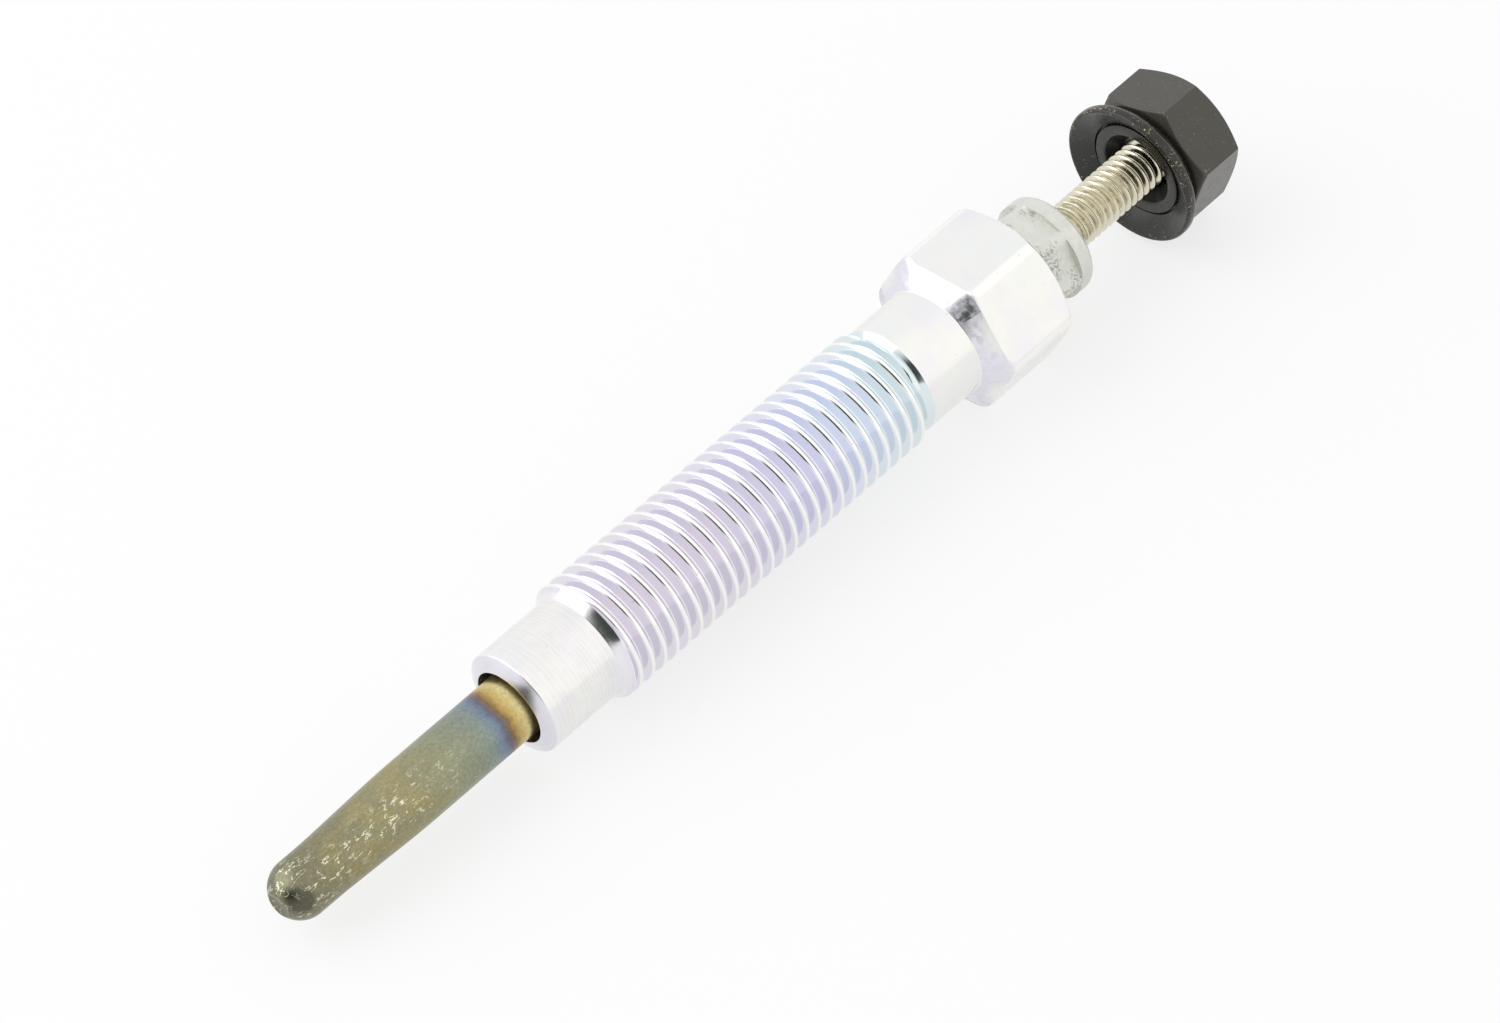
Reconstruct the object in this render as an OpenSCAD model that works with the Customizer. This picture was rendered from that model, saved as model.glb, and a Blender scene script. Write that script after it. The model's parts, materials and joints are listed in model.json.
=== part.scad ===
// Diesel glow plug with a screwed body, a sheathed heater and a terminal nut.
// All sizes are in millimetres. Stations count along the plug from the tip of its tube.

/* [Glow tube] */
// Outside diameter of the tube where it enters the body
tube_d = 5.1; // [4.6:0.05:5.4]
// How much thinner the swaged front of the tube is, on the radius
tube_swage = 0.28; // [0.1:0.02:0.4]
// Wall of the tube
tube_wall = 0.6; // [0.45:0.05:0.7]
// Length of the tube that stands out of the body
tube_out = 22.8; // [19:0.2:34]
// Length of the swaged front, with its round end
tube_front_len = 4.5; // [3.5:0.1:6]
// Length of the taper behind the swaged front
tube_taper_len = 7.5; // [4:0.1:9]
// Length of tube gripped inside the body
tube_grip = 10; // [8:0.5:14]
// Thickness of the welded tip
tip_wall = 1.4; // [1:0.05:1.6]
// Width of the weld dimple in the tip
dimple_d = 2; // [1:0.1:2.6]
// Depth of the weld dimple
dimple_depth = 0.25; // [0.1:0.05:0.4]

/* [Heater] */
// Wire of both coils
wire_d = 0.32; // [0.24:0.02:0.36]
// Insulating powder between the coils and the front of the tube
powder_cover = 0.42; // [0.34:0.02:0.5]
// Space from the welded tip to the heating coil
coil_tip_gap = 0.15; // [0.12:0.01:0.3]
// Turns of the heating coil
heat_turns = 9; // [6:1:10]
// Rise of the heating coil in one turn
heat_pitch = 1; // [0.8:0.05:1.1]
// Turns of the regulating coil
control_turns = 14; // [12:1:15]
// Rise of the regulating coil in one turn
control_pitch = 1.05; // [0.9:0.05:1.1]
// Length of the rod's pin inside the regulating coil
pin_len = 4; // [2.5:0.25:5]
// Length of the rubber seal in the back of the tube
seal_len = 3; // [2:0.25:4]
// Width of the rubber seal around the rod
seal_w = 0.55; // [0.4:0.05:0.6]

/* [Body] */
// Diameter over the thread, the major diameter of M10 x 1.25
thread_d = 9.9; // [9.4:0.05:10.4]
// Length of full thread
thread_len = 31.5; // [22:0.5:45]
// Diameter of the plain nose in front of the thread
nose_d = 8.45; // [8:0.05:9]
// Length of the nose behind its sealing cone
nose_len = 6.6; // [5:0.1:12]
// Height of the sealing cone on the end of the nose
seat_rise = 0.6; // [0.3:0.05:1.2]
// Space around the tube in the mouth of the nose
nose_gap = 0.5; // [0.3:0.02:0.7]
// Depth of the mouth of the nose
nose_gap_depth = 4; // [2:0.25:6]
// Diameter of the plain shank behind the thread
shank_d = 9.1; // [8.8:0.05:9.4]
// Length of the shank
shank_len = 5; // [3:0.5:20]
// Length of the cone where the thread runs out
run_out = 0.8; // [0.4:0.1:1.5]
// Ledge in the bore that the tube stops against
bore_ledge = 0.25; // [0.15:0.05:0.35]

/* [Hexagon] */
// Hexagon across its flats
hex_af = 12; // [11:0.5:14]
// Length of the hexagon with its front cone
hex_len = 8.35; // [7:0.1:12]
// How far each corner is turned down
hex_trim = 0.18; // [0.05:0.01:0.3]
// Width of the bevel behind the hexagon, on the radius
hex_bevel = 0.95; // [0.4:0.05:1.2]

/* [Terminal] */
// Diameter of the rod in the body
rod_d = 3.5; // [3.1:0.05:3.6]
// Diameter of the stud, the major diameter of M4 x 0.7
stud_d = 3.94; // [3.8:0.02:4.2]
// Length of stud behind the collar
stud_len = 13.6; // [12.5:0.1:15]
// Section of the sealing ring on the rod
ring_d = 1.5; // [1.2:0.05:1.7]
// Length of the insulating bush inside the body
bush_len = 4; // [2.5:0.25:4.5]
// Thickness of the bush's flange
flange_t = 0.85; // [0.5:0.05:1.5]
// Diameter of the crimped collar
collar_d = 8.4; // [7.8:0.1:8.6]
// Length of the collar
collar_len = 4.15; // [3:0.05:6]
// Length of the collar's round lip
collar_lip = 1.4; // [1:0.1:1.8]
// Crimped part of the collar across its flats
crimp_af = 7.5; // [7.2:0.05:7.7]

/* [Nut and washer] */
// Nut across its flats
nut_af = 10; // [9.5:0.25:10.5]
// Height of the nut's hexagon
nut_h = 4.8; // [4:0.1:6]
// How far the stud reaches into the nut, counted from the nut's lip
nut_on = 3.9; // [3.5:0.1:9]
// Diameter of the neck that carries the washer
neck_d = 6.9; // [6.7:0.05:7.1]
// Diameter of the lip that keeps the washer on the neck
lip_d = 8; // [7.8:0.05:8.1]
// Thickness of the lip
lip_t = 0.35; // [0.25:0.05:0.6]
// Diameter of the washer
washer_d = 12; // [11.5:0.1:12.6]
// Thickness of the washer
washer_t = 0.85; // [0.6:0.05:1]
// Depth of the washer's dish
washer_dish = 1.35; // [0.8:0.05:1.6]

/* [Clearances] */
// Space on the radius between pieces that are pressed or packed together
fit_gap = 0.03; // [0.02:0.005:0.04]
// Space on the radius between the nut and the stud
run_gap = 0.05; // [0.03:0.01:0.08]
// Play of the washer on the nut
washer_play = 0.05; // [0.03:0.01:0.1]

/* [Hidden] */
$fn = 96;
coil_steps = 12;
wire_sides = 6;
hex_ratio = 1 / cos(30);
// How far a cut runs past the solid it opens
past = 1;
// Small roundings and bevels
rim_round = 0.3;
lip_round = 0.15;
stud_bevel = 0.5;
nut_front_bevel = 0.1;
nut_back_bevel = 0.3;
// Wall between the nut's countersink and the outside of its neck
sink_wall = 0.3;
// How far the bush's flange stays inside the collar
flange_inset = 0.3;
// Thin part of the rod behind the tube, and how far the collar and the nut are turned
rod_step = 0.8;
collar_turn = 9.5;
nut_turn = -12;

// Stations of the body, from front to back
s_body = tube_out;
s_seat = s_body + seat_rise;
s_nose = s_seat + nose_len;
s_thread = s_nose + (thread_d - nose_d) / 2;
s_run_out = s_thread + thread_len;
s_shank = s_run_out + run_out;
s_hex = s_shank + shank_len;
s_hex_end = s_hex + hex_len;

// Stations of the bore
mouth_r = tube_d / 2 + nose_gap;
s_mouth = s_body + nose_gap_depth;
s_grip = s_mouth + nose_gap;
s_tube_end = s_grip + tube_grip;
bore_r = tube_d / 2 - bore_ledge;
recess_r = rod_d / 2 + ring_d + 2 * fit_gap;
s_bush = s_hex_end - bush_len;
s_recess = s_bush - ring_d - 2 * fit_gap;

// Hexagon of the body
shank_r = shank_d / 2;
corner_r = hex_af / 2 * hex_ratio - hex_trim;
s_flat = s_hex + hex_af / 2 - shank_r;
s_corner = s_hex + corner_r - shank_r;

// Inside of the tube
front_r = tube_d / 2 - tube_swage;
front_in_r = front_r - tube_wall;
tube_in_r = tube_d / 2 - tube_wall;
s_taper = tube_front_len + tube_taper_len;
s_seal = s_tube_end - seal_len;

// Coils, and the rod that reaches into them
coil_r = front_in_r - powder_cover - wire_d / 2;
s_coil = tip_wall + coil_tip_gap + wire_d / 2;
s_control = s_coil + heat_turns * heat_pitch;
s_coil_end = s_control + control_turns * control_pitch;
pin_r = coil_r - wire_d / 2 - fit_gap;
s_rod = s_coil_end + wire_d / 2 + 2 * fit_gap;
s_pin = s_rod - pin_len;
inner_rod_r = tube_in_r - seal_w;
s_step = s_tube_end + rod_step;

// Terminal end
s_collar = s_hex_end + flange_t;
s_collar_end = s_collar + collar_len;
s_stud_end = s_collar_end + stud_len;
collar_r = collar_d / 2;

// Nut and washer
s_lip = s_stud_end - nut_on;
neck_len = lip_t + washer_t + 2 * washer_play;
s_nut = s_lip + neck_len;
s_nut_end = s_nut + nut_h;
nut_corner_r = nut_af / 2 * hex_ratio;
nut_bore_r = stud_d / 2 + run_gap;
sink_r = neck_d / 2 - sink_wall;
s_sink = s_lip + sink_r - nut_bore_r;
washer_r = washer_d / 2;
washer_in_r = neck_d / 2 + 2 * washer_play;
dish_r = lip_d / 2 + rim_round;
s_washer = s_nut - washer_play;
s_washer_front = s_washer - washer_t;

// How the plug lies: on the front of its thread and on a flat or on the washer
rest_slope = max(
    (hex_af / 2 - thread_d / 2) / (s_flat - s_thread),
    (washer_r - thread_d / 2) / (s_washer_front - washer_dish - s_thread));
rest_tilt = atan(rest_slope);
rest_lift = thread_d / 2 * cos(rest_tilt) - s_thread * sin(rest_tilt);
rest_back = (s_nut_end * cos(rest_tilt) + nut_af / 2 * sin(rest_tilt)) / 2;

// Lay a plug that is drawn along X on the floor
module at_rest() {
    translate([-rest_back, 0, rest_lift]) rotate([0, -rest_tilt, 0]) children();
}

// Turn an outline of [radius, station] points around the axis of the plug
module turned(outline) {
    rotate([0, 90, 0]) rotate_extrude() polygon(outline);
}

// Six-sided bar between two stations, with a flat underneath
module hex_bar(across, from, to) {
    translate([from, 0, 0]) rotate([0, 90, 0]) rotate([0, 0, 30])
        cylinder(h = to - from, r = across / 2 * hex_ratio, $fn = 6);
}

// Plain round bar between two stations
module bar(radius, from, to) {
    translate([from, 0, 0]) rotate([0, 90, 0]) cylinder(h = to - from, r = radius);
}

// Quarter round of an outline, from one angle to another
function quarter(radius, station, size, from, to) =
    [for (i = [0:4]) let (a = from + (to - from) * i / 4)
        [radius + size * cos(a), station + size * sin(a)]];

// One section of a coil's wire, in the plane through the axis
function wire_ring(turn, station, size) =
    [for (k = [0:wire_sides - 1]) let (a = 360 * k / wire_sides, r = coil_r + size * cos(a))
        [station + size * sin(a), r * cos(turn), r * sin(turn)]];

// Places along a coil, as [angle, station]
function coil_path(start, turns, pitch) =
    [for (i = [0:turns * coil_steps]) [360 * i / coil_steps, start + pitch * i / coil_steps]];

heat_path = coil_path(s_coil, heat_turns, heat_pitch);
control_path = coil_path(s_control, control_turns, control_pitch);
powder_path = concat(heat_path, [for (i = [1:len(control_path) - 1]) control_path[i]]);

// Wire that follows such places
module wire(path, size) {
    n = wire_sides;
    last = len(path) - 1;
    points = [for (p = path) each wire_ring(p[0], p[1], size)];
    sides = [for (i = [0:last - 1]) for (k = [0:n - 1])
        each [[i * n + k, i * n + (k + 1) % n, (i + 1) * n + k],
              [(i + 1) * n + k, i * n + (k + 1) % n, (i + 1) * n + (k + 1) % n]]];
    front = [for (k = [n - 1:-1:0]) k];
    back = [for (k = [0:n - 1]) last * n + k];
    polyhedron(points = points, faces = concat(sides, [front, back]));
}

// Screwed steel body with its hexagon, bored through
module housing() {
    color("Gainsboro") at_rest() difference() {
        union() {
            turned([[0, s_body], [mouth_r, s_body], [nose_d / 2, s_seat], [nose_d / 2, s_nose],
                [thread_d / 2, s_thread], [thread_d / 2, s_run_out], [shank_r, s_shank],
                [shank_r, s_flat], [0, s_flat]]);
            intersection() {
                hex_bar(hex_af, s_hex, s_hex_end);
                turned([[0, s_hex], [shank_r, s_hex], [corner_r, s_corner],
                    [corner_r, s_hex_end - hex_bevel * tan(30)], [corner_r - hex_bevel, s_hex_end],
                    [0, s_hex_end]]);
            }
        }
        turned([[0, s_body - past], [mouth_r, s_body - past], [mouth_r, s_mouth],
            [tube_d / 2 + fit_gap, s_grip - fit_gap], [tube_d / 2 + fit_gap, s_tube_end],
            [bore_r, s_tube_end], [bore_r, s_recess], [recess_r, s_recess],
            [recess_r, s_hex_end + past], [0, s_hex_end + past]]);
    }
}

// Closed heater tube, swaged thinner at the front, with a weld dimple in its round end
module glow_tube() {
    color("DimGray") at_rest() difference() {
        rotate([0, 90, 0]) rotate_extrude() {
            translate([0, front_r]) intersection() {
                circle(r = front_r);
                translate([0, -front_r]) square(front_r);
            }
            polygon([[0, front_r], [front_r, front_r], [front_r, tube_front_len],
                [tube_d / 2, s_taper], [tube_d / 2, s_tube_end], [0, s_tube_end]]);
        }
        weld_dimple();
        turned([[0, tip_wall], [coil_r, tip_wall], [front_in_r, tip_wall + front_in_r - coil_r],
            [front_in_r, tube_front_len], [tube_in_r, s_taper], [tube_in_r, s_tube_end + past],
            [0, s_tube_end + past]]);
    }
}

// Ball that presses the dimple
module weld_dimple() {
    ball = (pow(dimple_d / 2, 2) + pow(dimple_depth, 2)) / (2 * dimple_depth);
    rim = front_r - sqrt(pow(front_r, 2) - pow(dimple_d / 2, 2));
    translate([rim + dimple_depth - ball, 0, 0]) rotate([0, 90, 0]) sphere(r = ball);
}

// Pressed insulating powder around the coils and the end of the rod
module magnesia_fill() {
    pocket_r = coil_r + wire_d / 2 + 4 * fit_gap;
    color("Ivory") at_rest() difference() {
        turned([[0, tip_wall + fit_gap], [coil_r - fit_gap, tip_wall + fit_gap],
            [front_in_r - fit_gap, tip_wall + front_in_r - coil_r + fit_gap],
            [front_in_r - fit_gap, tube_front_len], [tube_in_r - fit_gap, s_taper],
            [tube_in_r - fit_gap, s_seal], [0, s_seal]]);
        turned([[0, s_pin - fit_gap], [pocket_r, s_pin - fit_gap], [pocket_r, s_rod - fit_gap],
            [inner_rod_r + fit_gap, s_rod - fit_gap], [inner_rod_r + fit_gap, s_seal + past],
            [0, s_seal + past]]);
        wire(powder_path, wire_d / 2 + fit_gap);
    }
}

// Heating coil, welded into the tip
module heating_coil() {
    color("Sienna") at_rest() wire(heat_path, wire_d / 2);
}

// Regulating coil, from the heating coil onto the pin of the rod
module regulating_coil() {
    color("Peru") at_rest() wire(control_path, wire_d / 2);
}

// Rubber seal in the open end of the tube
module tube_seal() {
    color("DarkSlateGray") at_rest() difference() {
        bar(tube_in_r - fit_gap, s_seal, s_tube_end);
        bar(inner_rod_r + fit_gap, s_seal - past, s_tube_end + past);
    }
}

// Current rod in one piece, from the pin in the coil to the end of the stud
module centre_rod() {
    stud_r = stud_d / 2;
    color("Silver") at_rest()
        turned([[0, s_pin], [pin_r, s_pin], [pin_r, s_rod], [inner_rod_r, s_rod],
            [inner_rod_r, s_step], [rod_d / 2, s_step], [rod_d / 2, s_collar], [stud_r, s_collar],
            [stud_r, s_stud_end - stud_bevel], [stud_r - stud_bevel, s_stud_end], [0, s_stud_end]]);
}

// Sealing ring at the bottom of the body's recess
module rod_seal_ring() {
    color("Black") at_rest() translate([s_recess + fit_gap + ring_d / 2, 0, 0]) rotate([0, 90, 0])
        rotate_extrude() translate([rod_d / 2 + fit_gap + ring_d / 2, 0]) circle(d = ring_d, $fn = 32);
}

// Insulating bush between the body and the live collar
module insulating_bush() {
    color("SaddleBrown") at_rest()
        turned([[rod_d / 2 + fit_gap, s_bush], [recess_r - fit_gap, s_bush],
            [recess_r - fit_gap, s_hex_end], [collar_r - flange_inset, s_hex_end],
            [collar_r - flange_inset, s_collar], [rod_d / 2 + fit_gap, s_collar]]);
}

// Collar crimped on the rod with six flats, and a round lip behind them
module crimp_collar() {
    crimp_end = s_collar_end - collar_lip;
    color("LightGray") at_rest() difference() {
        turned(concat(
            [[stud_d / 2 + fit_gap, s_collar], [collar_r, s_collar]],
            quarter(collar_r - rim_round, s_collar_end - rim_round, rim_round, 0, 90),
            [[stud_d / 2 + fit_gap, s_collar_end]]));
        for (i = [0:5])
            rotate([collar_turn + i * 60, 0, 0])
                translate([s_collar - past, -collar_r, crimp_af / 2])
                    cube([crimp_end - s_collar + past, 2 * collar_r, collar_r]);
    }
}

// Dished washer, free on the neck of the nut
module nut_washer() {
    rim_front = s_washer_front - washer_dish;
    color("DarkSlateGray") at_rest()
        turned([[washer_in_r, s_washer], [washer_in_r, s_washer_front], [dish_r, s_washer_front],
            [washer_r - rim_round, rim_front], [washer_r, rim_front + rim_round],
            [washer_r, rim_front + washer_t], [dish_r + rim_round, s_washer]]);
}

// Six-sided nut with a neck, a lip swaged over the washer and a countersunk bore
module terminal_nut() {
    bevel_r = nut_corner_r + nut_front_bevel;
    front_r = nut_af / 2 - nut_front_bevel;
    back_r = nut_af / 2 - nut_back_bevel;
    color("DimGray") at_rest() difference() {
        union() {
            rotate([nut_turn, 0, 0]) intersection() {
                hex_bar(nut_af, s_nut, s_nut_end);
                turned([[0, s_nut], [front_r, s_nut], [bevel_r, s_nut + (bevel_r - front_r) * tan(30)],
                    [bevel_r, s_nut_end - (bevel_r - back_r) * tan(30)], [back_r, s_nut_end],
                    [0, s_nut_end]]);
            }
            turned([[0, s_lip], [lip_d / 2 - lip_round, s_lip], [lip_d / 2, s_lip + lip_round],
                [lip_d / 2, s_lip + lip_t], [neck_d / 2, s_lip + lip_t], [neck_d / 2, s_nut + past],
                [0, s_nut + past]]);
        }
        turned([[0, s_lip - past], [sink_r + past, s_lip - past], [nut_bore_r, s_sink],
            [nut_bore_r, s_nut_end - nut_back_bevel],
            [nut_bore_r + nut_back_bevel + past, s_nut_end + past], [0, s_nut_end + past]]);
    }
}

housing();
glow_tube();
magnesia_fill();
heating_coil();
regulating_coil();
tube_seal();
centre_rod();
rod_seal_ring();
insulating_bush();
crimp_collar();
nut_washer();
terminal_nut();
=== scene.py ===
import json
import math

import bmesh
import bpy
from mathutils import Euler, Matrix, Vector


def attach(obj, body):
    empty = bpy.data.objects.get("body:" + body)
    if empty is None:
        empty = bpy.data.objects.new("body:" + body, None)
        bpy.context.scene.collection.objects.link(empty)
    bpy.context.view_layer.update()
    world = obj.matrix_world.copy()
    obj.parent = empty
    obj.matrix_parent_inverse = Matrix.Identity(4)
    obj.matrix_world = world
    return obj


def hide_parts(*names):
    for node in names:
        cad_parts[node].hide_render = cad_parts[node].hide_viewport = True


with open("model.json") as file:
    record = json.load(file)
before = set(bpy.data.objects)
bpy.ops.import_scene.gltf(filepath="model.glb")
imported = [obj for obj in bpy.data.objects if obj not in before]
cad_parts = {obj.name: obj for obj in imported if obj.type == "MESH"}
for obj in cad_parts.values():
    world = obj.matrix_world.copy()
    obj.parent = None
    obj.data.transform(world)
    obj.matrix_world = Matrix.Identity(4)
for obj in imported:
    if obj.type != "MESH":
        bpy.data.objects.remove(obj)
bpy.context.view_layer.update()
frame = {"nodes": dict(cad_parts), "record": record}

# Sizes in millimetres; stations count along the plug from the tip of its tube
MM = 0.001
FLANK = math.radians(30)
MERGE = 0.001

# Glow tube
TUBE_R, TUBE_FRONT_R, TUBE_WALL = 2.55, 2.27, 0.6
TUBE_FRONT, TUBE_TAPER, TUBE_END = 4.5, 12.0, 37.3
TIP_WALL, COIL_R = 1.4, 1.09
DIMPLE_R, DIMPLE_DEPTH = 1.0, 0.15
TUBE_STEPS = 96

# Marks on the glow tube: the length its heat colours are spread over, the scratched side in turns, the burnt
# mark's place, and stations where scratches and golden patches start, are full and end
HEAT_SCALE = 25.0
WORN_SIDE = -0.13
BURNT_MARK = (1.0, -1.6, 0.9)
WORN_END, WORN_FULL, TIP_WORN_END, TIP_WORN_FULL = 18.5, 12.0, 5.0, 2.0
GOLDEN_START, GOLDEN_FULL, GOLDEN_END = 2.5, 6.0, 17.0

# Body; OPEN_END is how far the blank's open ends stand from the thread that joins them
BODY, SEAT, NOSE, THREAD, RUN_OUT, SHANK = 22.8, 23.4, 30.0, 30.725, 62.225, 63.025
MOUTH_R, MOUTH, GRIP_R, GRIP = 3.05, 26.8, 2.58, 27.27
BORE_R, RECESS_R, RECESS = 2.3, 3.31, 70.815
NOSE_R, THREAD_R, SHANK_R = 4.225, 4.95, 4.55
BODY_PITCH, BODY_CREST, BODY_ROOT_ROUND = 1.25, 0.22, 0.30
GROOVE_R, GROOVE_RISE, THREAD_ROOT_R = 4.13, 0.42, 4.1
BODY_STEPS, THREAD_STEPS, OPEN_END = 288, 120, 0.03

# Hexagon
HEX, HEX_CORNER, HEX_END = 68.025, 69.294, 76.375
HEX_ACROSS, HEX_CORNER_R, HEX_BEVEL, HEX_SOFT = 12.0, 6.748, 0.95, 0.4
HEX_PRESS_R, SOFT_EDGE, CRISP_EDGE = 5.2, 0.36, 0.12
FINE_CUT = 0.08

# Rod and stud
PIN, ROD, ROD_STEP, STUD_END = 21.63, 25.63, 38.1, 94.975
PIN_R, INNER_ROD_R, ROD_R, STUD_R = 0.9, 1.4, 1.75, 1.97
STUD_PITCH, STUD_CREST, STUD_ROOT_ROUND, STUD_BEVEL = 0.7, 0.09, 0.17, 0.5
STUD_ROOT_R, STUD_STEPS = 1.4, 96

# Collar
COLLAR, COLLAR_END, COLLAR_R, COLLAR_BORE_R = 77.225, 81.375, 4.2, 2.0
CRIMP_END, CRIMP_ACROSS, CRIMP_TURN, CRIMP_PRESS_R = 79.975, 7.5, 9.5, 3.0
COLLAR_STEPS, COLLAR_CUT = 240, 0.12

# Nut and washer
LIP, NUT, NUT_END = 91.075, 92.375, 97.175
LIP_R, LIP_THICK, NECK_R, SINK_R, NUT_BORE_R, SINK = 4.0, 0.35, 3.45, 3.15, 2.02, 92.205
NUT_ACROSS, NUT_TURN, NUT_FACE_R, NUT_BACK_R, NUT_CORNER_R = 10.0, -12.0, 4.9, 4.7, 5.87
WASHER_IN_R, WASHER_DISH_R, WASHER_R = 3.55, 4.3, 6.0
LIP_GAP_R, LIP_GAP_EDGE = 4.12, 91.175
WASHER_RIM, WASHER_FRONT, WASHER_BACK, WASHER_THICK = 90.125, 91.475, 92.325, 0.85
NUT_BACK_BEVEL, NUT_STEPS, WASHER_STEPS = 0.3, 240, 144

# Camera of the photograph, in millimetres and degrees
CAMERA_PLACE = (-192.288, -215.326, 291.203)
CAMERA_TURN = (44.8840, 5.3477, -46.9806)
CAMERA_LENS, CAMERA_SENSOR = 134.784, 36.0

# Studio in metres: shares of its own light in the table's white, the tent's light and cloth, and the tent's
# dark opening as seen from the plug
TABLE_HALF, TABLE_GLOW, MIRRORED_GLOW = 0.8, 0.74, 0.76
TABLE_PAPER = (0.97, 0.97, 0.97, 1)
TENT_LIGHT = (0.78, 0.78, 0.79, 1)
NEAR_CLOTH, FAR_CLOTH = (1.12, 1.11, 1.09, 1), (1.02, 1.02, 1.04, 1)
OPENING_TURN, OPENING_HALF, OPENING_TOP, OPENING_EDGE = (math.radians(turn) for turn in (17, 25, 33, 7))
OPENING_COLOUR = (0.06, 0.072, 0.062, 1)
SOFTBOX_PLACE, SOFTBOX_SIZE, SOFTBOX_POWER = (-0.38, 0.42, 0.45), 0.8, 2.4
WHITE = (1, 1, 1, 1)


def plug_place():
    """Place of the plug's own millimetres in the shared frame, from the record's seat."""
    seat = next(mount for mount in frame["record"]["mounts"] if mount["name"] == "seat")
    along = -Vector(seat["axis"])
    across = Vector((0, 1, 0))
    turn = Matrix((along, across, along.cross(across))).transposed().to_4x4()
    start = Vector(seat["pos_m"]) - along * SEAT * MM
    return Matrix.Translation(start) @ turn @ Matrix.Scale(MM, 4)


PLACE = plug_place()


# Turning, pressing and threading

def draw_outline(bm, points, closed=False):
    """Wire through (station, radius, rounding) points, its corners rounded where asked."""
    corners = [bm.verts.new((station, 0, radius)) for station, radius, _ in points]
    for first, second in zip(corners, corners[1:]):
        bm.edges.new((first, second))
    if closed:
        bm.edges.new((corners[-1], corners[0]))
    for corner, (_, _, rounding) in zip(corners, points):
        if rounding:
            bmesh.ops.bevel(bm, geom=[corner], offset=rounding, offset_type='ABSOLUTE', affect='VERTICES',
                            segments=4, profile=0.5, material=-1)


def refine_outline(bm, first, last, least_r, step):
    """Cut the outline's edges between two stations into short pieces."""
    for edge in bm.edges[:]:
        ends = [vert.co for vert in edge.verts]
        inside = all(first <= co.x <= last and co.z >= least_r for co in ends)
        cuts = int(edge.calc_length() / step)
        if inside and cuts:
            bmesh.ops.subdivide_edges(bm, edges=[edge], cuts=cuts)


def turn_outline(bm, steps):
    """Spin the outline once around the plug's axis and close its seam and poles."""
    bmesh.ops.spin(bm, geom=bm.verts[:] + bm.edges[:], cent=(0, 0, 0), axis=(1, 0, 0), dvec=(0, 0, 0),
                   angle=math.tau, steps=steps, use_merge=True)
    bmesh.ops.remove_doubles(bm, verts=bm.verts[:], dist=MERGE)


def arc(station, radius, size, first, last, steps):
    """Points of an arc around a centre, its angles in degrees from the axis."""
    turns = [math.radians(first + (last - first) * i / steps) for i in range(steps + 1)]
    return [(station + size * math.cos(turn), radius + size * math.sin(turn), 0) for turn in turns]


def soft_least(first, second, softness):
    """The smaller of two sizes, blended where they are close."""
    close = max(softness - abs(first - second), 0) / softness
    return min(first, second) - close * close * softness / 4


def line_at(line, station):
    """Radius at a station on a line of (station, radius) points."""
    if station <= line[0][0]:
        return line[0][1]
    for (start, low), (stop, high) in zip(line, line[1:]):
        if station <= stop:
            return low + (high - low) * (station - start) / (stop - start)
    return line[-1][1]


def press_flats(bm, across, turn, first, last, least_r, softness):
    """Press six flats on a turned outside between two stations; softness is a line of (station, size)."""
    for vert in bm.verts:
        radius = math.hypot(vert.co.y, vert.co.z)
        if first <= vert.co.x <= last and radius >= least_r:
            away = math.atan2(vert.co.y, vert.co.z) + math.radians(turn)
            away = (away + math.pi / 6) % (math.pi / 3) - math.pi / 6
            flat = across / 2 / math.cos(away)
            pressed = soft_least(radius, flat, line_at(softness, vert.co.x)) / radius
            vert.co.y *= pressed
            vert.co.z *= pressed


def roll_thread(pitch, crest_r, crest, root_round, first, last, high, low, steps):
    """Helical skin of a rolled thread, its section spun up the helix and held between two lines."""
    bm = bmesh.new()
    gap = (pitch - crest) / 2
    root_r = crest_r - gap / math.tan(FLANK)
    section = ((0, crest_r), (crest, crest_r), (crest + gap, root_r))
    turns = math.ceil((last - first) / pitch) + 3
    corners = [bm.verts.new((first + (turn - 2) * pitch + along, 0, radius))
               for turn in range(turns) for along, radius in section]
    for start, stop in zip(corners, corners[1:]):
        bm.edges.new((start, stop))
    roots = corners[2:-1:3]
    crests = [corner for corner in corners[1:-1] if corner not in roots]
    bmesh.ops.bevel(bm, geom=roots, offset=root_round, offset_type='ABSOLUTE', affect='VERTICES', segments=6,
                    profile=0.5, material=-1)
    bmesh.ops.bevel(bm, geom=crests, offset=crest / 4, offset_type='ABSOLUTE', affect='VERTICES', segments=2,
                    profile=0.5, material=-1)
    flanks = [edge for edge in bm.edges if edge.calc_length() > pitch / 3]
    bmesh.ops.subdivide_edges(bm, edges=flanks, cuts=2)
    bmesh.ops.spin(bm, geom=bm.verts[:] + bm.edges[:], cent=(0, 0, 0), axis=(1, 0, 0),
                   dvec=(pitch / steps, 0, 0), angle=math.tau, steps=steps, use_merge=False)
    bmesh.ops.remove_doubles(bm, verts=bm.verts[:], dist=MERGE)
    for station, _ in high + low:
        bmesh.ops.bisect_plane(bm, geom=bm.verts[:] + bm.edges[:] + bm.faces[:], dist=MERGE / 10,
                               plane_co=(station, 0, 0), plane_no=(1, 0, 0))
    for vert in bm.verts:
        radius = math.hypot(vert.co.y, vert.co.z)
        held = min(max(radius, line_at(low, vert.co.x)), line_at(high, vert.co.x)) / radius
        vert.co.y *= held
        vert.co.z *= held
    for station, side in ((first, "clear_inner"), (last, "clear_outer")):
        bmesh.ops.bisect_plane(bm, geom=bm.verts[:] + bm.edges[:] + bm.faces[:], dist=MERGE / 10,
                               plane_co=(station, 0, 0), plane_no=(1, 0, 0), **{side: True})
    return bm


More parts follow.
